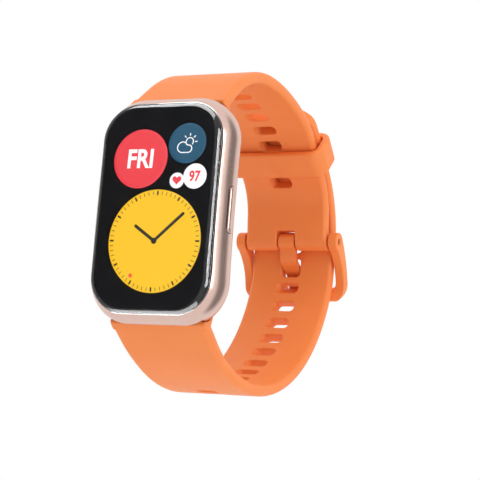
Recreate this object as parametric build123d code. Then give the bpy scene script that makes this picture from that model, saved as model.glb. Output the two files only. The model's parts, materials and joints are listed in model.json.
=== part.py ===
from build123d import *
import os
from math import cos, radians, sin, tan

# Gps running watch, buckled into a loop as it is on a wrist. Millimetres.
# Origin: centre of the wrist opening. The screen faces -Y, twelve o'clock is +Z and the button is on +X.
# Depths are measured backwards, along +Y, from the middle of the cover glass.

# Case
glass_y = -39.0
case_width = 30.0
case_length = 46.0
case_corner = 9.0
case_rim = 0.8
case_thickness = 8.8
case_arch = 250.0
edge_round = 4.25

# Cover glass and the bays inside the case
glass_width = 26.6
glass_length = 42.6
glass_corner = 7.3
glass_underside = 1.9
glass_edge_round = 0.8
seat_gap = 0.1
glue_line = 0.15
display_bay = (24.2, 40.2, 6.1)
display_bay_floor = 3.9
body_bay = (22.8, 30.2, 4.5)
rear_seat = (24.4, 31.6, 5.2)
rear_seat_depth = 8.6
rear_plate = (24.2, 31.4, 5.1)
rear_plate_front = 8.75

# Small repeated pieces inside the case
screw_places = [(x, z) for x in (-8.5, 8.5) for z in (-17.5, 17.5)]
screw_radius = 0.45
contact_places = [-4.5, -1.5, 1.5, 4.5]
contact_z = -12.0

# Strap ends and their quick-release bars
lug_half_width = 10.2
lug_front = 5.2
lug_start = 16.6
bar_depth = 7.9
bar_z = 18.8
bar_half_length = 9.6
bar_radius = 0.95
bar_bore = 0.65
bar_spring_from = -1.0
bar_spring_to = 4.5
spring_turns = 9
spring_coil_radius = 0.42
spring_wire_radius = 0.13

# Strap
strap_thickness = 2.6
strap_half_width = 10.3
strap_end_half_width = 10.7
strap_flare_y = (-31.0, -20.5)
strap_edge_round = 1.0
collar_gap = 0.12
strap_layer_gap = 0.35
slot_width = 4.6
slot_length = 2.65
slot_pitch = 5.1
slot_corner = 0.9
scoop_reach = 1.0
scoop_width = 2.4
scoop_corner = 0.8
upper_slots = 7
upper_slot_start = 29.8
tang_slot_at = 81.05
tang_slot_length = 4.5
tang_slot_shift = 0.25
slots_below_tang = 11
slots_above_tang = 4
tip_round = 7.0

# Routes of the two straps' mid-surfaces, seen from +X: where they leave the case, which way, and their stretches
upper_start = (-30.7, 23.0)
upper_heading = 39.5
keeper_heading = -44.0
keeper_run = 11.0
upper_to_keeper = [
    ("straight", 6.1),
    ("round", 27.0, -39.5),
    ("round", 46.0, -25.5),
    ("round", 12.0, keeper_heading + 25.5),
]
roll_heading = -82.0
upper_stretches = [
    *upper_to_keeper,
    ("straight", keeper_run),
    ("round", 13.1, roll_heading - keeper_heading),
    ("straight", 6.6),
]
lower_start = (-30.7, -23.0)
lower_heading = -37.0
lower_to_back = [
    ("straight", 3.7),
    ("round", 37.6, 37.0),
    ("round", 38.8, 28.2),
    ("round", 36.4, 44.8),
    ("round", 14.7, 17.0),
]

# Buckle
pin_y = 27.8
pin_z = 4.7
pin_radius = 0.75
pin_clearance = 0.05
roll_radius = 2.1
arm_inner_x = 10.7
arm_outer_x = 12.9
frame_reach = 13.6
buckle_tilt = -62.0
tang_half_width = 2.0
tang_thickness = 1.3
tang_start = (27.63, 4.66)
tang_heading = -80.0
tang_stretches = [
    ("straight", 3.0),
    ("round", 3.0, 50.0),
    ("straight", 4.3),
    ("round", 2.5, -35.0),
    ("straight", 2.9),
]
notch_half_width = 2.35

# Keeper, placed along the upper strap
keeper_at = 54.5
keeper_length = 6.4
keeper_wall = 1.7
keeper_gap = 0.35

# Side button
button_depth = 4.7
button_length = 9.2
button_width = 2.2
button_outer_x = 15.4
button_inner_x = 13.6
button_pocket_x = 13.1
button_gap = 0.12
stem_radius = 0.7
stem_end_x = 10.6


def face_plane(depth):
    """Plane parallel to the screen at a depth: local x is X, local y is Z, and its normal is -Y."""
    return Plane.XZ.offset(-(glass_y + depth))


def plate(width, length, corner, front, back, x=0.0, z=0.0):
    """Flat plate with round corners, between two depths."""
    outline = Pos(x, z) * RectangleRounded(width, length, corner)
    return extrude(face_plane(back) * outline, amount=back - front)


def disc(radius, front, back, x=0.0, z=0.0):
    """Round disc or shank along Y, between two depths."""
    return extrude(face_plane(back) * (Pos(x, z) * Circle(radius)), amount=back - front)


def block(x_from, x_to, front, back, z_from, z_to):
    """Box given by its faces, with Y as depths."""
    size = (x_to - x_from, back - front, z_to - z_from)
    centre = ((x_from + x_to) / 2, glass_y + (front + back) / 2, (z_from + z_to) / 2)
    return Pos(*centre) * Box(*size)


def rod(radius, x_from, x_to, y, z):
    """Round rod along X."""
    return Plane((x_from, y, z), z_dir=(1, 0, 0)) * Cylinder(
        radius, x_to - x_from, align=(Align.CENTER, Align.CENTER, Align.MIN)
    )


def arched_slab(front, back):
    """Slab between two depths, bowed about X so that its ends lie further back."""
    half = 0.6 * case_length
    sag = half**2 / (2 * case_arch)
    front_y, back_y = glass_y + front, glass_y + back
    outline = Wire(
        [
            ThreePointArc((front_y + sag, -half), (front_y, 0), (front_y + sag, half)),
            Line((front_y + sag, half), (back_y + sag, half)),
            ThreePointArc((back_y + sag, half), (back_y, 0), (back_y + sag, -half)),
            Line((back_y + sag, -half), (front_y + sag, -half)),
        ]
    )
    return extrude(Plane.YZ * make_face(outline), amount=case_width, both=True)


def on_both_straps(make):
    """A pair of pieces: the given one at twelve o'clock and its mirror image at six o'clock."""
    upper = make()
    return upper, mirror(upper, about=Plane.XY)


# ---------------------------------------------------------------- strap mid-surfaces

def run(start, heading, stretches, side=0.0):
    """Edges of tangent stretches in the YZ plane, moved sideways to the left of travel.

    A stretch is ("straight", length) or ("round", radius, turn), with the turn in degrees, positive to the left.
    Returns the edges, the end point and the end heading."""
    angle = radians(heading)
    point = Vector(start[0] - side * sin(angle), start[1] + side * cos(angle))
    edges = []
    for stretch in stretches:
        tangent = (cos(radians(heading)), sin(radians(heading)))
        if stretch[0] == "straight":
            edge = PolarLine(point, stretch[1], direction=tangent)
        else:
            turn = stretch[2]
            radius = stretch[1] - side if turn > 0 else stretch[1] + side
            edge = JernArc(point, tangent, radius, turn)
            heading += turn
        edges.append(edge)
        point = edge @ 1
    return edges, point, heading


def band(start, heading, stretches):
    """Closed outline of a strap of full thickness along its mid-surface."""
    left, left_end, _ = run(start, heading, stretches, strap_thickness / 2)
    right, right_end, _ = run(start, heading, stretches, -strap_thickness / 2)
    ends = [Line(left_end, right_end), Line(left[0] @ 0, right[0] @ 0)]
    return make_face(Wire([*left, *right, *ends]))


# The free end lies on the upper strap, so its straight stretch is the upper strap's own, moved outwards.
layer_offset = strap_thickness + strap_layer_gap
keeper_slope = radians(keeper_heading)
_, keeper_run_start, _ = run(upper_start, upper_heading, upper_to_keeper, layer_offset)
keeper_run_end = keeper_run_start + Vector(cos(keeper_slope), sin(keeper_slope)) * keeper_run
_, back_start, _ = run(lower_start, lower_heading, lower_to_back)
back_turn = 90.0 + keeper_heading
corner_z = keeper_run_end.Y - (back_start.X - keeper_run_end.X) * tan(-keeper_slope)
corner_reach = (keeper_run_end - Vector(back_start.X, corner_z)).length
lower_stretches = [
    *lower_to_back,
    ("straight", corner_z - corner_reach - back_start.Y),
    ("round", corner_reach / tan(radians(back_turn / 2)), back_turn),
    ("straight", keeper_run),
    ("round", 12.0 + layer_offset, 18.5),
    ("round", 46.0 + layer_offset, 3.0),
]
lower_length = Wire(run(lower_start, lower_heading, lower_stretches)[0]).length


def station(start, heading, stretches, distance):
    """Point and travel direction on a strap's mid-surface at a distance along it."""
    wire = Wire(run(start, heading, stretches)[0])
    point = wire.position_at(distance, position_mode=PositionMode.LENGTH)
    along = wire.tangent_at(distance, position_mode=PositionMode.LENGTH)
    return Vector(0, point.X, point.Y), Vector(0, along.X, along.Y)


def strap_slot(start, heading, stretches, distance, length=slot_length):
    """Cutter for one through slot: round-cornered, square to the strap."""
    point, along = station(start, heading, stretches, distance)
    across = Plane(point, x_dir=(1, 0, 0), z_dir=Vector(1, 0, 0).cross(along))
    return extrude(across * RectangleRounded(slot_width, length, slot_corner), amount=strap_thickness, both=True)


def strap_scoop(start, heading, stretches, distance, wrist_side):
    """Cutter for the slanted lead-in at a slot's -X end, on the side that lies on the wrist."""
    point, along = station(start, heading, stretches, distance)
    inwards = Vector(1, 0, 0).cross(along) * wrist_side
    mouth = Plane(point + inwards * (strap_thickness / 2 + 0.2), x_dir=(1, 0, 0), z_dir=inwards)
    left_end = -slot_width / 2 - scoop_reach
    outline = Pos(left_end + scoop_width / 2, 0) * RectangleRounded(scoop_width, slot_length - 0.2, scoop_corner)
    slant = Vector(1, 0, 0) - inwards * 1.25
    return extrude(mouth * outline, amount=0.8 * strap_thickness, dir=slant.normalized())


def strap_plan():
    """Prism of the strap's outline seen from above, flared towards the case."""
    flare_from, flare_to = strap_flare_y
    wide, narrow = strap_end_half_width, strap_half_width
    far = 2.5 * case_length
    sides = []
    for x in (1, -1):
        sides += [
            Line((x * wide, -far), (x * wide, flare_from)),
            Spline((x * wide, flare_from), (x * narrow, flare_to), tangents=[(0, 1), (0, 1)]),
            Line((x * narrow, flare_to), (x * narrow, far)),
        ]
    ends = [Line((-wide, -far), (wide, -far)), Line((-narrow, far), (narrow, far))]
    return extrude(make_face(Wire([*sides, *ends])), amount=case_length, both=True)


def round_long_edges(body, radius):
    """Rounds the strap's long edges: those that run along it and lie on its sides."""
    sides = [e for e in body.edges() if abs((e @ 0.5).X) > strap_half_width - 0.05 and e.length > 3]
    long_edges = [e for e in sides if abs(e.tangent_at(0.5).X) < 0.4]
    return fillet(long_edges, radius)


def case_envelope(gap=0.0):
    """Outside of the case with nothing cut from it, grown by a gap all round."""
    outline = plate(case_width + 2 * gap, case_length + 2 * gap, case_corner + gap, -3, 15)
    body = outline & arched_slab(case_rim - gap, case_rim + case_thickness + gap)
    return fillet([e for e in body.edges() if abs(e.tangent_at(0.5).Y) < 0.9], edge_round)


def strap_root():
    """Tongue at twelve o'clock that goes into the case: an eye round the bar, a neck, and a collar on the case."""
    eye = rod(2.0, -9.9, 9.9, glass_y + bar_depth, bar_z)
    neck_outline = Polyline(
        (glass_y + 5.95, 19.2),
        (glass_y + 5.95, 22.75),
        (glass_y + 7.45, 24.0),
        (glass_y + 9.15, 21.98),
        (glass_y + 9.88, 19.0),
        close=True,
    )
    neck = extrude(Plane.YZ * make_face(neck_outline), amount=9.9, both=True)
    collar = extrude(Plane.YZ * make_face(neck_outline), amount=strap_end_half_width, both=True)
    collar -= case_envelope(collar_gap)
    bore = rod(bar_radius + 0.05, -12, 12, glass_y + bar_depth, bar_z)
    lever_notch = block(4.9, 8.3, bar_depth, 14, bar_z - 0.9, bar_z + 0.9)
    return eye + neck + collar, bore + lever_notch


# ---------------------------------------------------------------- case

def side_pill(length, width, x_from, x_to):
    """Prism of a pill outline on the button's side of the case, long way up."""
    outline = Pos(glass_y + button_depth, 0) * Rot(0, 0, 90) * SlotOverall(length, width)
    return extrude(Plane.YZ.offset(x_from) * outline, amount=x_to - x_from)


def bay(size, front, back):
    return plate(*size, front, back)


def make_case_frame():
    body = case_envelope()
    seat = (glass_width + 2 * seat_gap, glass_length + 2 * seat_gap, glass_corner + seat_gap)
    body -= bay(seat, -2, glass_underside + glue_line)
    body -= bay(display_bay, 0, display_bay_floor)
    body -= bay(body_bay, 0, 14)
    body -= bay(rear_seat, rear_seat_depth, 14)
    for end in (1, -1):
        z_near, z_far = sorted((end * lug_start, end * 30))
        body -= block(-lug_half_width, lug_half_width, lug_front, 14, z_near, z_far)
        body -= rod(bar_bore, -11.5, 11.5, glass_y + bar_depth, end * bar_z)
    body -= side_pill(button_length + 2 * button_gap, button_width + 2 * button_gap, button_pocket_x, 20)
    stem_y = glass_y + button_depth
    body -= rod(stem_radius + 0.05, 10, 14, stem_y, 0)
    body -= rod(1.25, 10, 12.0, stem_y, 0)
    for x, z in screw_places:
        body -= disc(screw_radius, 3, 4.9, x, z)
    return body


def make_cover_glass():
    glass = plate(glass_width, glass_length, glass_corner, -2, glass_underside) & arched_slab(0, 5)
    rim = [e for e in glass.edges() if (e @ 0.5).Y < glass_y + 1.2 and abs(e.tangent_at(0.5).Y) < 0.9]
    return fillet(rim, glass_edge_round)


def make_glass_adhesive():
    outer = plate(glass_width, glass_length, glass_corner, glass_underside, glass_underside + glue_line)
    return outer - bay(display_bay, 0, 4)


def make_display_panel():
    return plate(22.6, 36.5, 5.0, glass_underside, 3.0)


def make_display_flex():
    path = Polyline((glass_y + 3.06, -9.0), (glass_y + 3.06, -14.62), (glass_y + 6.5, -14.62))
    ribbon = make_face(Wire(offset(path, 0.06, kind=Kind.INTERSECTION, side=Side.BOTH).edges()))
    return extrude(Plane.YZ * ribbon, amount=4.2, both=True)


def make_inner_chassis():
    chassis = plate(23.8, 39.6, 5.9, 3.3, display_bay_floor)
    chassis -= block(9.3, 13, 3, 5, -2.6, 2.6)
    chassis -= block(-4.8, 4.8, 3, 5, -15.1, -14.2)
    for x, z in screw_places:
        chassis -= disc(screw_radius + 0.05, 3, 5, x, z)
    return chassis


def make_chassis_screws():
    screws = []
    for x, z in screw_places:
        screw = disc(0.9, 3.02, 3.3, x, z) + disc(screw_radius, 3.3, 4.8, x, z)
        screws.append(screw - disc(0.35, 3.0, 3.2, x, z))
    return Compound(children=screws)


def make_battery():
    pouch = plate(17.4, 17.0, 1.2, 4.0, 6.35, x=-0.9, z=-5.2)
    return fillet(pouch.edges().filter_by(Axis.X) + pouch.edges().filter_by(Axis.Z), 0.5)


def make_main_board():
    board = plate(22.4, 28.6, 3.8, 6.55, 7.25)
    chips = [(-5.0, 8.0, 7.0, 7.0), (4.5, 9.5, 5.0, 4.0), (5.5, -8.0, 5.0, 5.0), (-6.0, -7.5, 6.0, 4.0)]
    for x, z, width, length in chips:
        board += plate(width, length, 0.2, 7.25, 7.75, x, z)
    return board


def make_shield_cans():
    cans = []
    for x, z, width, length in [(-6.0, 9.2, 8.6, 8.4), (0.45, 7.0, 3.4, 4.0)]:
        can = plate(width, length, 0.5, 5.3, 6.55, x, z)
        cans.append(can - plate(width - 0.3, length - 0.3, 0.35, 5.45, 6.55, x, z))
    return Compound(children=cans)


def make_gps_antenna():
    return plate(17.0, 0.7, 0.3, 4.1, 6.4, z=14.55) - plate(9.0, 0.8, 0.2, 4.9, 5.6, z=14.55)


def make_vibration_motor():
    can = disc(4.0, 4.0, 6.2, 6.6, 9.4)
    return fillet(can.edges().filter_by(GeomType.CIRCLE), 0.3)


def make_rear_cover():
    cover = bay(rear_plate, rear_plate_front, 12) & arched_slab(0, case_rim + case_thickness)
    pod = plate(17.0, 17.0, 6.0, rear_plate_front, 10.3)
    pod = fillet([e for e in pod.edges() if (e @ 0.5).Y > glass_y + 10.2], 0.6)
    cover = cover + pod - plate(13.2, 13.2, 4.6, 9.6, 12) - plate(11.0, 11.0, 3.5, 8, 12)
    for x in contact_places:
        cover -= disc(0.9, 8, 12, x, contact_z)
    return cover


def make_rear_cover_seal():
    return bay(rear_plate, rear_seat_depth, rear_plate_front) - bay(body_bay, 8, 9)


def make_sensor_window():
    window = plate(13.0, 13.0, 4.5, 9.6, 10.7)
    return fillet([e for e in window.edges() if (e @ 0.5).Y > glass_y + 10.6], 0.35)


def make_sensor_board():
    board = plate(10.6, 10.6, 1.0, 8.0, 8.5)
    for x, z in ((-3.0, 0), (3.0, 0), (0, 3.0), (0, -3.0)):
        board += plate(1.8, 1.8, 0.2, 8.5, 9.1, x, z)
    return board + plate(2.6, 2.6, 0.2, 8.5, 9.3)


def make_charging_contacts():
    pads = []
    for x in contact_places:
        pads.append(disc(0.9, 8.3, 9.85, x, contact_z))
    return Compound(children=pads)


# ---------------------------------------------------------------- side button

def make_side_button():
    cap = side_pill(button_length, button_width, button_inner_x, button_outer_x)
    cap = fillet([e for e in cap.edges() if (e @ 0.5).X > button_outer_x - 0.1], 0.5)
    stem = rod(stem_radius, stem_end_x, button_inner_x, glass_y + button_depth, 0)
    return cap + stem


def make_button_clip():
    y = glass_y + button_depth
    return rod(1.4, 10.8, 11.15, y, 0) - rod(stem_radius, 10, 12, y, 0)


def make_button_seal():
    y = glass_y + button_depth
    return rod(1.2, 11.5, 12.0, y, 0) - rod(stem_radius + 0.05, 11, 13, y, 0)


def make_button_switch():
    y = glass_y + button_depth
    body = block(8.6, 9.8, 4.0, 5.9, -1.8, 1.8)
    return body + rod(0.6, 9.8, 10.15, y, 0)


# ---------------------------------------------------------------- straps

def make_strap_upper():
    body = extrude(Plane.YZ * band(upper_start, upper_heading, upper_stretches), amount=15, both=True)
    body = round_long_edges(body & strap_plan(), strap_edge_round)
    root, bores = strap_root()
    body = body + root + rod(roll_radius, -strap_half_width, strap_half_width, pin_y, pin_z) - bores
    body -= rod(pin_radius, -12, 12, pin_y, pin_z)
    body -= Pos(0, pin_y, pin_z - 0.2) * Box(2 * notch_half_width, 6.0, 5.0)
    for number in range(upper_slots):
        distance = upper_slot_start + number * slot_pitch
        body -= strap_slot(upper_start, upper_heading, upper_stretches, distance)
        body -= strap_scoop(upper_start, upper_heading, upper_stretches, distance, -1)
    return body


def make_strap_lower():
    body = extrude(Plane.YZ * band(lower_start, lower_heading, lower_stretches), amount=15, both=True)
    body = round_long_edges(body & strap_plan(), strap_edge_round)
    tip, along = station(lower_start, lower_heading, lower_stretches, lower_length - tip_round)
    tip_plane = Plane(tip, x_dir=(1, 0, 0), z_dir=Vector(1, 0, 0).cross(along))
    for sign in (1, -1):
        corner_x = sign * (strap_half_width - tip_round)
        corner = Pos(corner_x + sign * 5, 5) * Rectangle(10, 10) - Pos(corner_x, 0) * Circle(tip_round)
        body -= extrude(tip_plane * corner, amount=5, both=True)
    root, bores = strap_root()
    body = body + mirror(root, about=Plane.XY) - mirror(bores, about=Plane.XY)
    for number in range(-slots_above_tang, slots_below_tang + 1):
        if number:
            distance = tang_slot_at - number * slot_pitch
            body -= strap_slot(lower_start, lower_heading, lower_stretches, distance)
            body -= strap_scoop(lower_start, lower_heading, lower_stretches, distance, 1)
    tang_slot = tang_slot_at + tang_slot_shift
    return body - strap_slot(lower_start, lower_heading, lower_stretches, tang_slot, tang_slot_length)


# ---------------------------------------------------------------- quick-release bars

def make_bar_tube():
    y = glass_y + bar_depth
    tube = rod(bar_radius, -bar_half_length, bar_half_length, y, bar_z)
    tube -= rod(bar_bore, -12, 12, y, bar_z)
    return tube - block(5.0, 7.7, bar_depth, bar_depth + 2, bar_z - 0.55, bar_z + 0.55)


def make_fixed_pin():
    return rod(bar_bore, -11.3, bar_spring_from, glass_y + bar_depth, bar_z)


def make_release_pin():
    shank = rod(bar_bore - pin_clearance, bar_spring_to, 11.3, glass_y + bar_depth, bar_z)
    lever = disc(0.4, bar_depth, bar_depth + 2.3, 7.1, bar_z)
    return shank + lever


def make_bar_spring():
    length = bar_spring_to - bar_spring_from
    centre = (bar_spring_from + 0.15, glass_y + bar_depth, bar_z)
    coil = Helix(length / spring_turns, length - 0.3, spring_coil_radius, center=centre, direction=(1, 0, 0))
    return sweep(Plane(coil @ 0, z_dir=coil % 0) * Circle(spring_wire_radius), path=coil, is_frenet=True)


# ---------------------------------------------------------------- buckle and keeper

buckle_heading = radians(buckle_tilt)
pin_centre = Vector(0, pin_y, pin_z)
buckle_along = Vector(0, cos(buckle_heading), sin(buckle_heading))
buckle_side = Plane(pin_centre, x_dir=buckle_along, z_dir=(1, 0, 0))
buckle_top = Plane(pin_centre, x_dir=(1, 0, 0), z_dir=Vector(1, 0, 0).cross(buckle_along))


def make_buckle_frame():
    """U of two arms and a far bar, drawn from the side and trimmed to its outline from above."""
    side = Wire(
        [
            ThreePointArc((0, 2.2), (7.3, 2.7), (14.2, 1.3)),
            ThreePointArc((14.2, 1.3), (14.8, 0), (14.0, -1.0)),
            Line((14.0, -1.0), (12.3, -0.9)),
            ThreePointArc((12.3, -0.9), (7.0, 0.05), (1.6, -1.5)),
            Line((1.6, -1.5), (0, 2.2)),
        ]
    )
    profile = make_face(side) + Circle(2.2)
    body = extrude(buckle_side * profile, amount=arm_outer_x, both=True)
    reach = frame_reach + 1.4
    outline = Pos(0, reach / 2 - 4) * RectangleRounded(2 * arm_outer_x, reach + 8, 4.0)
    window = Pos(0, 11.9 / 2 - 4) * RectangleRounded(2 * arm_inner_x, 11.9 + 8, 1.6)
    body = body & extrude(buckle_top * outline, amount=10, both=True)
    body -= extrude(buckle_top * window, amount=10, both=True)
    body -= rod(pin_radius + pin_clearance, -15, 15, pin_y, pin_z)
    tang_seat = Pos(0, 13.5) * Rectangle(2 * notch_half_width, 4)
    return body - extrude(buckle_top.offset(0.65) * tang_seat, amount=4)


def make_buckle_tang():
    """Tang bent to pass through its slot and lie in the far bar's notch."""
    half = tang_thickness / 2
    left, left_end, _ = run(tang_start, tang_heading, tang_stretches, half)
    right, right_end, end_heading = run(tang_start, tang_heading, tang_stretches, -half)
    slope = radians(end_heading)
    nose = (left_end + right_end) / 2 + Vector(cos(slope), sin(slope)) * half
    ends = [ThreePointArc(left_end, nose, right_end), Line(left[0] @ 0, right[0] @ 0)]
    profile = make_face(Wire([*left, *right, *ends])) + Pos(pin_y, pin_z) * Circle(2.0)
    body = extrude(Plane.YZ * profile, amount=tang_half_width, both=True)
    return body - rod(pin_radius + pin_clearance, -5, 5, pin_y, pin_z)


def make_buckle_pin():
    return rod(pin_radius, -12.4, 12.4, pin_y, pin_z)


def make_keeper_loop():
    middle, along = station(upper_start, upper_heading, upper_stretches, keeper_at)
    outwards = Vector(1, 0, 0).cross(along)
    centre = middle + outwards * (layer_offset / 2)
    section = Plane(centre, x_dir=(1, 0, 0), z_dir=along)
    width = 2 * (strap_half_width + keeper_gap)
    height = layer_offset + strap_thickness + 2 * keeper_gap
    ring = RectangleRounded(width + 2 * keeper_wall, height + 2 * keeper_wall, 3.2)
    ring -= RectangleRounded(width, height, 1.0)
    body = extrude(section * ring, amount=keeper_length / 2, both=True)
    rims = [e for e in body.edges() if abs((e @ 0.5 - centre).dot(along)) > keeper_length / 2 - 0.01]
    return fillet(rims, 0.5)


# ---------------------------------------------------------------- all pieces

pieces = {
    "case_frame": make_case_frame(),
    "cover_glass": make_cover_glass(),
    "glass_adhesive": make_glass_adhesive(),
    "display_panel": make_display_panel(),
    "display_flex": make_display_flex(),
    "inner_chassis": make_inner_chassis(),
    "chassis_screws": make_chassis_screws(),
    "battery": make_battery(),
    "main_board": make_main_board(),
    "shield_cans": make_shield_cans(),
    "gps_antenna": make_gps_antenna(),
    "vibration_motor": make_vibration_motor(),
    "rear_cover": make_rear_cover(),
    "rear_cover_seal": make_rear_cover_seal(),
    "sensor_window": make_sensor_window(),
    "sensor_board": make_sensor_board(),
    "charging_contacts": make_charging_contacts(),
    "side_button": make_side_button(),
    "button_clip": make_button_clip(),
    "button_seal": make_button_seal(),
    "button_switch": make_button_switch(),
    "strap_upper": make_strap_upper(),
    "strap_lower": make_strap_lower(),
    "buckle_frame": make_buckle_frame(),
    "buckle_tang": make_buckle_tang(),
    "buckle_pin": make_buckle_pin(),
    "keeper_loop": make_keeper_loop(),
}
bar_pieces = {
    "bar_tube": make_bar_tube,
    "fixed_pin": make_fixed_pin,
    "release_pin": make_release_pin,
    "release_spring": make_bar_spring,
}
for name, make in bar_pieces.items():
    pieces["upper_" + name], pieces["lower_" + name] = on_both_straps(make)

os.makedirs("parts", exist_ok=True)
for name, piece in pieces.items():
    export_step(piece, f"parts/{name}.step")
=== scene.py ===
import json
from math import cos, pi, radians, sin, sqrt

import bmesh
import bpy
from mathutils import Matrix, Vector


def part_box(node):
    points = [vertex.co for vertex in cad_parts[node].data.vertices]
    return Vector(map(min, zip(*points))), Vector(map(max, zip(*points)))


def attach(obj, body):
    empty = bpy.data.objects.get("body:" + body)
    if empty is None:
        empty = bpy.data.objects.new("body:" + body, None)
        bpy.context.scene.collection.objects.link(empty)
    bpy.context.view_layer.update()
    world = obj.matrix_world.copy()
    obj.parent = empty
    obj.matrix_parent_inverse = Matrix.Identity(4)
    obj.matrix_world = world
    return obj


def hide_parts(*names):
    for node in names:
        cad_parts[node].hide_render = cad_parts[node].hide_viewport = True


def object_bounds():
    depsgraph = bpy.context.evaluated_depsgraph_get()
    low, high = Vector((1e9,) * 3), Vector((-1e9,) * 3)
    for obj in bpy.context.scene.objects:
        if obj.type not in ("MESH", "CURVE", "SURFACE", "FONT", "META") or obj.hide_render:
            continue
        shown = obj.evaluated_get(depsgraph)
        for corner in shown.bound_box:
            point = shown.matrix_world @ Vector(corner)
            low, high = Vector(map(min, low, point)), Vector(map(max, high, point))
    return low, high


# Looks of the gps running watch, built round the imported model. Lengths are in metres, in the model's own
# frame: the screen faces -Y, twelve o'clock is +Z and the button is on +X. Only the picture on the screen
# is laid out in millimetres.
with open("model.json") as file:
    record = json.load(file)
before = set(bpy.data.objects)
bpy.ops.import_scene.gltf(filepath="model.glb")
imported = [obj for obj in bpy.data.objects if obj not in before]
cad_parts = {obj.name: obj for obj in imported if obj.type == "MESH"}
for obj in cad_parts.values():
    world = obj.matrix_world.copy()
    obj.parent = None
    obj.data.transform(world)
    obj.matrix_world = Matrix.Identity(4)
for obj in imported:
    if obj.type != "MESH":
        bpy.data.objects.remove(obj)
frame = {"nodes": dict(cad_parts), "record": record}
cad_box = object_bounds()
MM = 0.001

glass_low, glass_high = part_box("cover_glass")
GLASS_Y = glass_low.y
GLASS_WIDTH = glass_high.x - glass_low.x
GLASS_LENGTH = glass_high.z - glass_low.z
ARCH = 250 * MM  # radius of the bow of the screen, seen from the side


# ---------------------------------------------------------------- materials

def srgb(red, green, blue):
    """Linear colour from 0-255 sRGB values."""
    shares = [value / 255 for value in (red, green, blue)]
    linear = [((v + 0.055) / 1.055) ** 2.4 if v > 10 / 255 else v / 12.92 for v in shares]
    return (*linear, 1.0)


class Finish:
    """A procedural material: one Principled shader with colour, roughness and bump from noise."""

    def __init__(self, name, roughness, **values):
        self.material = bpy.data.materials.new(name)
        self.material.use_nodes = True
        self.tree = self.material.node_tree
        self.shader = self.tree.nodes["Principled BSDF"]
        self.shader.inputs["Roughness"].default_value = roughness
        for socket, value in values.items():
            self.shader.inputs[socket.replace("_", " ")].default_value = value
        self.place = self.tree.nodes.new("ShaderNodeTexCoord").outputs["Object"]
        self.height = None

    def node(self, kind, **settings):
        made = self.tree.nodes.new(kind)
        for name, value in settings.items():
            setattr(made, name, value)
        return made

    def link(self, out, into):
        self.tree.links.new(out, into)

    def noise(self, size, stretch=(1, 1, 1), detail=3.0, rough=0.55):
        """Noise whose blotches are about size metres across."""
        mapping = self.node("ShaderNodeMapping")
        mapping.inputs["Scale"].default_value = [1 / (size * s) for s in stretch]
        self.link(self.place, mapping.inputs["Vector"])
        texture = self.node("ShaderNodeTexNoise")
        texture.inputs["Scale"].default_value = 1.0
        texture.inputs["Detail"].default_value = detail
        texture.inputs["Roughness"].default_value = rough
        self.link(mapping.outputs["Vector"], texture.inputs["Vector"])
        return texture.outputs["Fac"]

    def spread(self, value, low, high, start=0.3, end=0.7):
        """Maps a noise value to a range."""
        remap = self.node("ShaderNodeMapRange")
        for name, number in (("From Min", start), ("From Max", end), ("To Min", low), ("To Max", high)):
            remap.inputs[name].default_value = number
        self.link(value, remap.inputs["Value"])
        return remap.outputs["Result"]

    def colour(self, value, *stops):
        """Base colour from a ramp of (position, colour) stops."""
        ramp = self.node("ShaderNodeValToRGB")
        elements = ramp.color_ramp.elements
        while len(elements) < len(stops):
            elements.new(0.5)
        for element, (position, colour) in zip(elements, stops):
            element.position = position
            element.color = colour
        self.link(value, ramp.inputs["Fac"])
        self.link(ramp.outputs["Color"], self.shader.inputs["Base Color"])
        return self

    def roughness(self, value, low, high):
        self.link(self.spread(value, low, high), self.shader.inputs["Roughness"])
        return self

    def bump(self, value, depth, strength=1.0):
        """Adds a layer of relief, depth in metres."""
        layer = self.node("ShaderNodeBump")
        layer.inputs["Strength"].default_value = strength
        layer.inputs["Distance"].default_value = depth
        self.link(value, layer.inputs["Height"])
        if self.height is not None:
            self.link(self.height, layer.inputs["Normal"])
        self.height = layer.outputs["Normal"]
        self.link(self.height, self.shader.inputs["Normal"])
        return self


def silicone(name, base, shade):
    """Soft-touch moulded silicone: fine grain and faint mottling."""
    finish = Finish(name, 0.5, Specular_IOR_Level=0.4)
    finish.colour(finish.noise(6 * MM, detail=5), (0.3, shade), (0.7, base))
    finish.roughness(finish.noise(0.5 * MM), 0.43, 0.56)
    finish.bump(finish.noise(0.09 * MM, detail=2), 0.004 * MM)
    return finish.bump(finish.noise(3 * MM), 0.02 * MM).material


def anodised(name, base, shade, roughness):
    """Bead-blasted and anodised metal: a fine even sparkle over a faint cloud."""
    finish = Finish(name, roughness, Metallic=1.0)
    finish.colour(finish.noise(4 * MM, detail=4), (0.3, shade), (0.7, base))
    finish.roughness(finish.noise(0.12 * MM), roughness - 0.03, roughness + 0.04)
    return finish.bump(finish.noise(0.05 * MM, detail=2), 0.0006 * MM).material


def turned_steel(name, base, shade, roughness=0.3):
    """Steel with fine marks across X."""
    finish = Finish(name, roughness, Metallic=1.0)
    finish.colour(finish.noise(1.5 * MM), (0.3, shade), (0.7, base))
    finish.roughness(finish.noise(0.2 * MM, stretch=(0.15, 4, 4)), roughness - 0.08, roughness + 0.1)
    return finish.bump(finish.noise(0.15 * MM, stretch=(0.1, 5, 5)), 0.002 * MM).material


def moulded(name, base, shade, roughness=0.5, grain=0.006):
    """Moulded plastic or rubber with a spark-eroded grain, its depth in millimetres."""
    finish = Finish(name, roughness)
    finish.colour(finish.noise(3 * MM, detail=4), (0.3, shade), (0.7, base))
    finish.roughness(finish.noise(0.3 * MM), roughness - 0.06, roughness + 0.08)
    return finish.bump(finish.noise(0.12 * MM, detail=2), grain * MM).material


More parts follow.
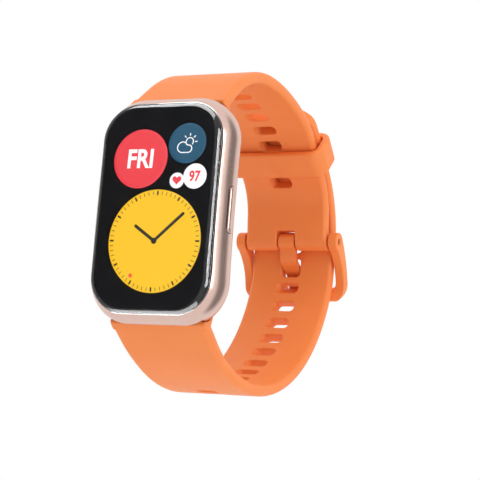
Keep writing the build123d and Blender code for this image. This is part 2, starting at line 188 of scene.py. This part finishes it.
def clear_glass(name):
    """Polished cover glass with the faintest smears."""
    finish = Finish(name, 0.02, Transmission_Weight=1.0, IOR=1.5, Specular_IOR_Level=0.9)
    finish.colour(finish.noise(8 * MM), (0.3, (0.97, 0.98, 0.985, 1)), (0.7, (0.99, 0.99, 0.99, 1)))
    return finish.roughness(finish.noise(5 * MM, stretch=(1, 1, 3)), 0.0, 0.03).material


def circuit(name):
    """Green solder mask with paler copper runs under it."""
    finish = Finish(name, 0.35, Coat_Weight=0.4)
    brick = finish.node("ShaderNodeTexBrick")
    brick.inputs["Scale"].default_value = 400.0
    finish.link(finish.place, brick.inputs["Vector"])
    finish.colour(brick.outputs["Fac"], (0.2, srgb(12, 74, 46)), (0.8, srgb(28, 110, 66)))
    return finish.bump(finish.noise(0.3 * MM), 0.01 * MM).material


def lit(name, colour, glow=1.0):
    """A lit area of the screen: its own light, and a dim matrix of pixels under it."""
    finish = Finish(name, 0.6, Emission_Color=colour, Emission_Strength=glow)
    dots = finish.noise(0.08 * MM, detail=1)
    dim = tuple(0.08 * c for c in colour[:3])
    dimmer = tuple(0.05 * c for c in colour[:3])
    return finish.colour(dots, (0.3, (*dimmer, 1)), (0.7, (*dim, 1))).material


ORANGE = srgb(248, 141, 72)
ORANGE_SHADE = srgb(246, 137, 68)

slot_finish = {
    "rose_gold_case": anodised("rose_gold", srgb(230, 199, 188), srgb(225, 193, 181), 0.24),
    "button_metal": anodised("rose_gold_button", srgb(226, 194, 183), srgb(221, 188, 176), 0.22),
    "cover_glass": clear_glass("clear_glass"),
    "adhesive": moulded("foam_tape", (0.02, 0.02, 0.02, 1), (0.03, 0.03, 0.03, 1), 0.8),
    "display": moulded("display_back", (0.01, 0.01, 0.012, 1), (0.02, 0.02, 0.024, 1), 0.3, 0.002),
    "flex": moulded("amber_film", srgb(196, 122, 38), srgb(168, 96, 30), 0.35, 0.002),
    "inner_plastic": moulded("black_plastic", (0.02, 0.02, 0.022, 1), (0.03, 0.03, 0.033, 1)),
    "steel": turned_steel("steel", (0.62, 0.6, 0.58, 1), (0.5, 0.49, 0.48, 1)),
    "battery_pouch": moulded("pouch_foil", (0.5, 0.51, 0.53, 1), (0.42, 0.43, 0.46, 1), 0.35, 0.01),
    "circuit_board": circuit("circuit_board"),
    "shield_tin": turned_steel("tin_plate", (0.7, 0.7, 0.7, 1), (0.6, 0.6, 0.62, 1), 0.35),
    "antenna": turned_steel("copper", srgb(224, 150, 110), srgb(200, 130, 92), 0.3),
    "rear_plastic": moulded("rear_plastic", srgb(58, 54, 56), srgb(48, 45, 47), 0.42),
    "seal_rubber": moulded("seal_rubber", (0.02, 0.02, 0.02, 1), (0.035, 0.035, 0.035, 1), 0.75),
    "sensor_glass": moulded("sensor_glass", (0.008, 0.008, 0.012, 1), (0.014, 0.013, 0.02, 1), 0.08, 0.0005),
    "gold_contact": turned_steel("gold_plate", srgb(238, 200, 120), srgb(214, 170, 92), 0.22),
    "strap_silicone": silicone("orange_silicone", ORANGE, ORANGE_SHADE),
    "buckle_plastic": silicone("orange_buckle", ORANGE, ORANGE_SHADE),
}
for row in frame["record"]["subparts"]:
    mesh = frame["nodes"][row["node"]].data
    mesh.materials.clear()
    mesh.materials.append(slot_finish[row["material_slot"]])
slot_of = {row["node"]: row["material_slot"] for row in frame["record"]["subparts"]}
body_of = {node: body for body, nodes in frame["record"]["behaviour"]["bodies"].items() for node in nodes}


# ---------------------------------------------------------------- making pieces

def piece(name, mesh, material, body, replaced=()):
    """Shown object from a mesh, riding on a body."""
    made = bpy.data.objects.new(name, mesh)
    bpy.context.scene.collection.objects.link(made)
    mesh.materials.clear()
    mesh.materials.append(material)
    for face in mesh.polygons:
        face.use_smooth = True
    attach(made, body)
    if replaced:
        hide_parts(*replaced)
    return made


def mesh_from(name, points, faces):
    """Mesh with its faces all turned outwards."""
    mesh = bpy.data.meshes.new(name)
    mesh.from_pydata([tuple(p) for p in points], [], faces)
    build = bmesh.new()
    build.from_mesh(mesh)
    bmesh.ops.recalc_face_normals(build, faces=build.faces)
    build.to_mesh(mesh)
    build.free()
    return mesh


def evaluated(thing, name):
    """The object's mesh with its modifiers applied; the object is removed."""
    bpy.context.view_layer.update()
    mesh = bpy.data.meshes.new_from_object(thing.evaluated_get(bpy.context.evaluated_depsgraph_get()))
    mesh.name = name
    bpy.data.objects.remove(thing)
    return mesh


def softened(node, name, voxel, passes):
    """A moulded copy of a CAD node, its sharp edges rounded all over."""
    copy = bpy.data.objects.new(name + "_work", frame["nodes"][node].data.copy())
    bpy.context.scene.collection.objects.link(copy)
    remesh = copy.modifiers.new("remesh", "REMESH")
    remesh.mode = "VOXEL"
    remesh.voxel_size = voxel
    smooth = copy.modifiers.new("smooth", "SMOOTH")
    smooth.factor = 0.5
    smooth.iterations = passes
    mesh = evaluated(copy, name)
    slot = slot_of[node]
    return piece(name, mesh, slot_finish[slot], body_of[node], [node])


STRAP_VOXEL = 0.15 * MM
# CAD node, name, voxel size, smoothing passes
SOFT_PIECES = [
    ("strap_upper", "upper_strap", STRAP_VOXEL, 16),
    ("strap_lower", "lower_strap", STRAP_VOXEL, 16),
    ("buckle_frame", "buckle", 0.12 * MM, 18),
    ("buckle_tang", "tang", 0.08 * MM, 14),
    ("keeper_loop", "keeper", 0.12 * MM, 14),
]
for soft_piece in SOFT_PIECES:
    softened(*soft_piece)


# ---------------------------------------------------------------- glass and screen

FILL_RINGS = 14


def rounded_outline(half_x, half_z, radius, corner_steps=14):
    """Points (x, z) round a rectangle with round corners."""
    points = []
    for corner, (sx, sz) in enumerate([(1, 1), (-1, 1), (-1, -1), (1, -1)]):
        for step in range(corner_steps + 1):
            angle = pi / 2 * (corner + step / corner_steps)
            x = sx * (half_x - radius) + radius * cos(angle)
            z = sz * (half_z - radius) + radius * sin(angle)
            points.append((x, z))
    return points


def arch_y(z):
    """How far the bowed screen lies behind its middle at a height."""
    return z * z / (2 * ARCH)


def shrunk(loop, step):
    """A loop drawn in towards the middle, step of FILL_RINGS of the way out."""
    outline, depth = loop
    return [(x * step / FILL_RINGS, z * step / FILL_RINGS) for x, z in outline], depth


def lofted(name, loops):
    """Closed skin through loops of (list of (x, z), depth) from front to back, with filled ends."""
    points, faces = [], []
    count = len(loops[0][0])
    first, last = loops[0], loops[-1]
    rings = [shrunk(first, step) for step in range(1, FILL_RINGS)]
    rings += list(loops)
    rings += [shrunk(last, step) for step in range(FILL_RINGS - 1, 0, -1)]
    for outline, depth in rings:
        points += [(x, GLASS_Y + depth + arch_y(z), z) for x, z in outline]
    for ring in range(len(rings) - 1):
        for k in range(count):
            a, b = ring * count + k, ring * count + (k + 1) % count
            faces.append((a, b, b + count, a + count))
    for ring, depth in ((0, first[1]), (len(rings) - 1, last[1])):
        points.append((0, GLASS_Y + depth, 0))
        centre = len(points) - 1
        for k in range(count):
            faces.append((centre, ring * count + k, ring * count + (k + 1) % count))
    return mesh_from(name, points, faces)


GLASS_CORNER = 7.3 * MM
EDGE_REACH = 1.6 * MM  # how far in from the outline the glass starts to roll over
EDGE_DROP = 1.15 * MM  # how far back the roll goes
EDGE_STEPS = 12
PANEL_INSET = 0.2 * MM
PANEL_DEPTH = 0.35 * MM
PANEL_DROP = 0.7 * EDGE_DROP
PANEL_STEPS = 6


def inset_outline(inset):
    """The glass's outline, drawn in."""
    return rounded_outline(GLASS_WIDTH / 2 - inset, GLASS_LENGTH / 2 - inset, GLASS_CORNER - inset)


def make_front_glass():
    """Cover glass, flat in the middle, whose edges roll over into the frame. The picture lies inside it."""
    loops = []
    for step in range(EDGE_STEPS + 1):
        angle = pi / 2 * step / EDGE_STEPS
        loops.append((inset_outline(EDGE_REACH * (1 - sin(angle))), EDGE_DROP * (1 - cos(angle))))
    loops.append((inset_outline(0), glass_high.y - GLASS_Y - arch_y(GLASS_LENGTH / 2)))
    mesh = lofted("front_glass", loops)
    piece("front_glass", mesh, slot_finish["cover_glass"], "watch", ["cover_glass"])


def make_screen_panel():
    """The black face behind the glass, which the picture lies on."""
    black = Finish("screen_black", 0.6, Specular_IOR_Level=0.0)
    black.colour(black.noise(0.1 * MM), (0.3, (0.004, 0.004, 0.005, 1)), (0.7, (0.008, 0.008, 0.009, 1)))
    loops = []
    for step in range(PANEL_STEPS + 1):
        angle = pi / 2 * step / PANEL_STEPS
        inset = PANEL_INSET + EDGE_REACH * (1 - sin(angle))
        loops.append((inset_outline(inset), PANEL_DEPTH + PANEL_DROP * (1 - cos(angle))))
    piece("screen_panel", lofted("screen_panel", loops), black.material, "watch")


make_front_glass()
make_screen_panel()


# ---------------------------------------------------------------- the picture on the screen

LAYER = 0.02 * MM
PICTURE_DEPTH = PANEL_DEPTH - 0.01 * MM
INNERMOST = 0.02  # size of a filled shape's innermost ring, as a share of the ring spacing


def slab(name, shapes, material, level):
    """Thin flat shapes, bowed with the screen. A shape is a list of rings of (x, z) in millimetres."""
    points, faces = [], []
    front = PICTURE_DEPTH - level * LAYER
    for rings in shapes:
        count = len(rings[0])
        base = len(points)
        back_ring = rings[-1]
        for ring, depth in [*((r, front) for r in rings), (back_ring, front + 0.8 * LAYER)]:
            points += [(x * MM, GLASS_Y + depth + arch_y(z * MM), z * MM) for x, z in ring]
        for ring in range(len(rings)):
            for k in range(count):
                a, b = base + ring * count + k, base + ring * count + (k + 1) % count
                faces.append((a, b, b + count, a + count))
    mesh = mesh_from(name, points, faces)
    build = bmesh.new()
    build.from_mesh(mesh)
    bmesh.ops.remove_doubles(build, verts=build.verts, dist=1e-7)
    bmesh.ops.holes_fill(build, edges=build.edges)
    bmesh.ops.recalc_face_normals(build, faces=build.faces)
    build.to_mesh(mesh)
    build.free()
    return piece(name, mesh, material, "watch")


def disc_rings(x, z, radius, rings=10, sides=72):
    """Rings of a filled disc, from its centre out."""
    turns = [2 * pi * k / sides for k in range(sides)]
    reaches = [radius * r / rings for r in (INNERMOST, *range(1, rings + 1))]
    return [[(x + reach * cos(turn), z + reach * sin(turn)) for turn in turns] for reach in reaches]


def filled(outline, centre, rings=3):
    """Rings that fill an outline from its centre out."""
    cx, cz = centre
    shares = [r / rings for r in (INNERMOST, *range(1, rings + 1))]
    return [[(cx + (x - cx) * share, cz + (z - cz) * share) for x, z in outline] for share in shares]


def capsule(start, end, width, steps=6):
    """Outline of a bar with round ends."""
    (x0, z0), (x1, z1) = start, end
    length = sqrt((x1 - x0) ** 2 + (z1 - z0) ** 2)
    ux, uz = (x1 - x0) / length, (z1 - z0) / length
    points = []
    for cx, cz, first in ((x1, z1, -pi / 2), (x0, z0, pi / 2)):
        for step in range(steps + 1):
            angle = first + pi * step / steps
            side, ahead = sin(angle) * width / 2, cos(angle) * width / 2
            points.append((cx + ux * ahead - uz * side, cz + uz * ahead + ux * side))
    return points


def bar(start, end, width):
    """Filled bar with round ends, filled with rings from its middle out."""
    outline = capsule(start, end, width)
    return filled(outline, ((start[0] + end[0]) / 2, (start[1] + end[1]) / 2))


def strokes(path, width):
    """A line of bars along a path."""
    return [bar(a, b, width) for a, b in zip(path, path[1:])]


def arc(centre, radius, start, end, steps=14):
    """Points along an arc, angles in degrees."""
    angles = [radians(start + (end - start) * k / steps) for k in range(steps + 1)]
    return [(centre[0] + radius * cos(a), centre[1] + radius * sin(a)) for a in angles]


YELLOW = lit("screen_yellow", srgb(250, 194, 8), 0.98)
RED = lit("screen_red", srgb(238, 54, 66), 0.94)
BLUE = lit("screen_blue", srgb(0, 80, 112), 0.9)
WHITE = lit("screen_white", srgb(255, 255, 255), 1.0)
DOT_RED = lit("screen_dot", srgb(238, 84, 40), 1.02)
INK = lit("screen_ink", srgb(10, 10, 8))

# Middles of the picture's round areas, (x, z) in millimetres
DIAL = (0.87, -6.95)
WEEKDAY = (-3.85, 9.65)
WEATHER = (6.3, 12.62)
PULSE = (8.68, 5.92)
HEART = (4.8, 5.08)

DIAL_RADIUS = 10.25
MARK_INNER = 9.25
HOUR_MARK = (9.85, 0.36)  # outer end and width
MINUTE_MARK = (9.9, 0.13)
HAND_WIDTH = 0.64
HOUR_HAND_TIP = (-3.48, -4.0)
MINUTE_HAND_TIP = (6.87, -1.55)
HUB_RADIUS = 0.62
DOT = (-3.88, -13.85, 0.42)  # x, z and radius
SIGN_LINE = 0.2


def at_clock(minutes, radius):
    """Point on the dial at a minute mark."""
    angle = radians(90 - 6 * minutes)
    return DIAL[0] + radius * cos(angle), DIAL[1] + radius * sin(angle)


def marks(numbers, outer, width):
    """Bars at the given minute marks."""
    return [bar(at_clock(number, MARK_INNER), at_clock(number, outer), width) for number in numbers]


def make_dial():
    """Clock dial with its marks, hands, hub and a small dot."""
    slab("dial_face", [disc_rings(*DIAL, DIAL_RADIUS, 14, 120)], YELLOW, 1)
    slab("dial_hours", marks(range(0, 60, 5), *HOUR_MARK), INK, 2)
    between = [number for number in range(60) if number % 5]
    slab("dial_minutes", marks(between, *MINUTE_MARK), lit("screen_fine_ink", srgb(60, 46, 8)), 2)
    slab("hour_hand", [bar(DIAL, HOUR_HAND_TIP, HAND_WIDTH)], INK, 3)
    slab("minute_hand", [bar(DIAL, MINUTE_HAND_TIP, HAND_WIDTH)], INK, 4)
    slab("dial_hub", [disc_rings(*DIAL, HUB_RADIUS, 3, 32)], INK, 5)
    slab("dial_dot", [disc_rings(*DOT, 3, 32)], DOT_RED, 3)


def lettering(name, words, size, weight, centre, material, level, squeeze):
    """Bold, narrow lettering on the screen."""
    curve = bpy.data.curves.new(name, "FONT")
    curve.body = words
    curve.size = size
    curve.offset = weight
    curve.extrude = 0.4 * LAYER / MM
    curve.align_x = "CENTER"
    curve.align_y = "CENTER"
    curve.resolution_u = 6
    work = bpy.data.objects.new(name + "_work", curve)
    bpy.context.scene.collection.objects.link(work)
    mesh = evaluated(work, name)
    middle_x = (min(v.co.x for v in mesh.vertices) + max(v.co.x for v in mesh.vertices)) / 2
    middle_z = (min(v.co.y for v in mesh.vertices) + max(v.co.y for v in mesh.vertices)) / 2
    for vertex in mesh.vertices:
        x = centre[0] + (vertex.co.x - middle_x) * squeeze
        z = centre[1] + vertex.co.y - middle_z
        depth = PICTURE_DEPTH - level * LAYER - vertex.co.z * MM
        vertex.co = (x * MM, GLASS_Y + depth + arch_y(z * MM), z * MM)
    made = piece(name, mesh, material, "watch")
    for face in mesh.polygons:
        face.use_smooth = False
    return made


def make_weather():
    """Disc with a cloud in front of a sun."""
    slab("weather_disc", [disc_rings(*WEATHER, 4.13, 8)], BLUE, 1)
    x, z = WEATHER
    cloud = arc((x - 1.0, z - 0.82), 1.08, 270, 25)
    puff = arc((x + 0.35, z - 1.15), 0.75, 100, -90)
    outline = [(x + 0.35, z - 1.9), *cloud, *puff]
    sun = (x + 0.5, z + 0.3)
    shapes = strokes(outline, SIGN_LINE) + strokes(arc(sun, 0.8, -38, 190), SIGN_LINE)
    for angle in (0, 45, 90, 135):
        start = arc(sun, 1.25, angle, angle, 1)[0]
        end = arc(sun, 1.65, angle, angle, 1)[0]
        shapes.append(bar(start, end, SIGN_LINE))
    slab("weather_sign", shapes, WHITE, 2)


def make_heart():
    """Small heart on its own disc."""
    outline = []
    sides = 48
    scale = 0.062
    lift = 0.1
    for k in range(sides):
        t = 2 * pi * k / sides
        x = 16 * sin(t) ** 3
        z = 13 * cos(t) - 5 * cos(2 * t) - 2 * cos(3 * t) - cos(4 * t)
        outline.append((HEART[0] + scale * x, HEART[1] + scale * z + lift))
    slab("heart_sign", [filled(outline, (HEART[0], HEART[1] - lift))], RED, 2)


make_dial()
make_weather()
slab("weekday_disc", [disc_rings(*WEEKDAY, 6.07, 8)], RED, 1)
slab("pulse_disc", [disc_rings(*PULSE, 2.53, 5)], WHITE, 1)
slab("heart_disc", [disc_rings(*HEART, 1.58, 4)], WHITE, 1)
make_heart()
lettering("weekday", "FRI", 5.3, 0.14, WEEKDAY, WHITE, 3, 0.88)
lettering("pulse_number", "97", 2.9, 0.09, PULSE, RED, 3, 0.82)


# ---------------------------------------------------------------- studio

CAMERA_AZIMUTH = 26.06
CAMERA_ELEVATION = -9.09
CAMERA_ROLL = 4.66
CAMERA_LENS = 111.13
CAMERA_PLACE = (0.142, -0.289, -0.0513)
ROOM_LIGHT = 0.95
# Azimuth, elevation, height as a multiple of width, half width, soft edge, share of light left. Degrees
DARK_CARDS = [(-27, 9, 1.6, 22, 16, 0.1), (112, -10, 3.5, 12, 24, 0.3)]


def area_light(name, azimuth, elevation, distance, width, height, power, diffuse=True, gloss=True):
    """Soft box that looks at the watch."""
    away = direction(azimuth, elevation)
    lamp = bpy.data.lights.new(name, "AREA")
    lamp.shape = "RECTANGLE"
    lamp.size, lamp.size_y = width, height
    lamp.energy = power
    holder = bpy.data.objects.new(name, lamp)
    holder.location = away * distance
    holder.rotation_mode = "QUATERNION"
    holder.rotation_quaternion = away.to_track_quat("Z", "Y")
    holder.visible_camera = False
    holder.visible_diffuse = diffuse
    holder.visible_glossy = gloss
    bpy.context.scene.collection.objects.link(holder)
    return holder


def make_floor():
    """Pale paper under the watch. It is left out of reflections, so that the screen stays dark."""
    size = 3.0
    level = cad_box[0].z - 0.08
    finish = Finish("paper_floor", 0.9)
    finish.colour(finish.noise(0.05), (0.3, (0.90, 0.90, 0.90, 1)), (0.7, (0.93, 0.93, 0.93, 1)))
    corners = [(-size, -size, level), (size, -size, level), (size, size, level), (-size, size, level)]
    mesh = mesh_from("floor", corners, [(0, 1, 2, 3)])
    mesh.materials.append(finish.material)
    floor = bpy.data.objects.new("floor", mesh)
    bpy.context.scene.collection.objects.link(floor)
    floor.visible_glossy = False


def direction(azimuth, elevation):
    """Unit vector away from the watch. Azimuth 0 is in front of the screen, 90 on the button's side."""
    a, e = radians(azimuth), radians(elevation)
    return Vector((sin(a) * cos(e), -cos(a) * cos(e), sin(e)))


def dark_flag(tree, place, azimuth, elevation, height, reach, edge, left):
    """Share of light left after a dark card, reach degrees to each side and height times that upwards."""
    flat = tree.nodes.new("ShaderNodeVectorMath")
    flat.operation = "MULTIPLY"
    flat.inputs[1].default_value = (1, 1, 1 / height)
    unit = tree.nodes.new("ShaderNodeVectorMath")
    unit.operation = "NORMALIZE"
    facing = tree.nodes.new("ShaderNodeVectorMath")
    facing.operation = "DOT_PRODUCT"
    facing.inputs[1].default_value = direction(azimuth, elevation / height)
    share = tree.nodes.new("ShaderNodeMapRange")
    share.interpolation_type = "SMOOTHSTEP"
    share.inputs["From Min"].default_value = cos(radians(reach + edge))
    share.inputs["From Max"].default_value = cos(radians(reach))
    share.inputs["To Min"].default_value = 1.0
    share.inputs["To Max"].default_value = left
    tree.links.new(place, flat.inputs[0])
    tree.links.new(flat.outputs["Vector"], unit.inputs[0])
    tree.links.new(unit.outputs["Vector"], facing.inputs[0])
    tree.links.new(facing.outputs["Value"], share.inputs["Value"])
    return share.outputs["Result"]


def make_world():
    """White surround for the eye; for light and reflections, a pale studio with two dark cards."""
    world = bpy.data.worlds.new("studio")
    bpy.context.scene.world = world
    world.use_nodes = True
    tree = world.node_tree
    tree.nodes.clear()
    out = tree.nodes.new("ShaderNodeOutputWorld")
    seen = tree.nodes.new("ShaderNodeBackground")
    seen.inputs["Color"].default_value = (1, 1, 1, 1)
    room = tree.nodes.new("ShaderNodeBackground")
    room.inputs["Color"].default_value = (1, 0.99, 0.985, 1)
    place = tree.nodes.new("ShaderNodeTexCoord").outputs["Generated"]
    level = tree.nodes.new("ShaderNodeValue").outputs["Value"]
    level.default_value = ROOM_LIGHT
    for flag in DARK_CARDS:
        product = tree.nodes.new("ShaderNodeMath")
        product.operation = "MULTIPLY"
        tree.links.new(level, product.inputs[0])
        tree.links.new(dark_flag(tree, place, *flag), product.inputs[1])
        level = product.outputs["Value"]
    tree.links.new(level, room.inputs["Strength"])
    path = tree.nodes.new("ShaderNodeLightPath")
    mix = tree.nodes.new("ShaderNodeMixShader")
    tree.links.new(path.outputs["Is Camera Ray"], mix.inputs["Fac"])
    tree.links.new(room.outputs["Background"], mix.inputs[1])
    tree.links.new(seen.outputs["Background"], mix.inputs[2])
    tree.links.new(mix.outputs["Shader"], out.inputs["Surface"])


def make_camera():
    """Long lens, from the button's side and a little below the screen's middle."""
    away = direction(CAMERA_AZIMUTH, CAMERA_ELEVATION)
    camera = bpy.data.cameras.new("camera")
    camera.sensor_width = 36.0
    camera.lens = CAMERA_LENS
    camera.clip_start, camera.clip_end = 0.01, 10.0
    holder = bpy.data.objects.new("camera", camera)
    holder.rotation_mode = "QUATERNION"
    turn = Matrix.Rotation(radians(CAMERA_ROLL), 4, "Z").to_quaternion()
    holder.rotation_quaternion = away.to_track_quat("Z", "Y") @ turn
    holder.location = CAMERA_PLACE
    bpy.context.scene.collection.objects.link(holder)
    bpy.context.scene.camera = holder


make_floor()
make_world()
make_camera()
# Azimuth, elevation, distance, width, height, power
area_light("key_left", -75, 35, 0.6, 0.3, 0.4, 0.7, gloss=False)
area_light("key_top", 20, 70, 0.6, 0.4, 0.3, 0.8, gloss=False)
area_light("fill_right", 95, 10, 0.6, 0.3, 0.4, 0.8, gloss=False)
# These three light the rolled edge of the glass alone
edge_lights = [
    area_light("edge_right", 60, 8, 0.5, 0.4, 0.5, 7.0, diffuse=False),
    area_light("edge_top", -20, 70, 0.5, 0.5, 0.4, 6.5, diffuse=False),
    area_light("edge_low", -20, -70, 0.12, 0.16, 0.12, 0.5, diffuse=False),
]
glass_only = bpy.data.collections.new("glass_only")
glass_only.objects.link(bpy.data.objects["front_glass"])
for holder in edge_lights:
    holder.light_linking.receiver_collection = glass_only
area_light("strip_right", 48, 8, 0.5, 0.07, 0.35, 0.6, diffuse=False)
bpy.context.scene.view_settings.view_transform = "Standard"
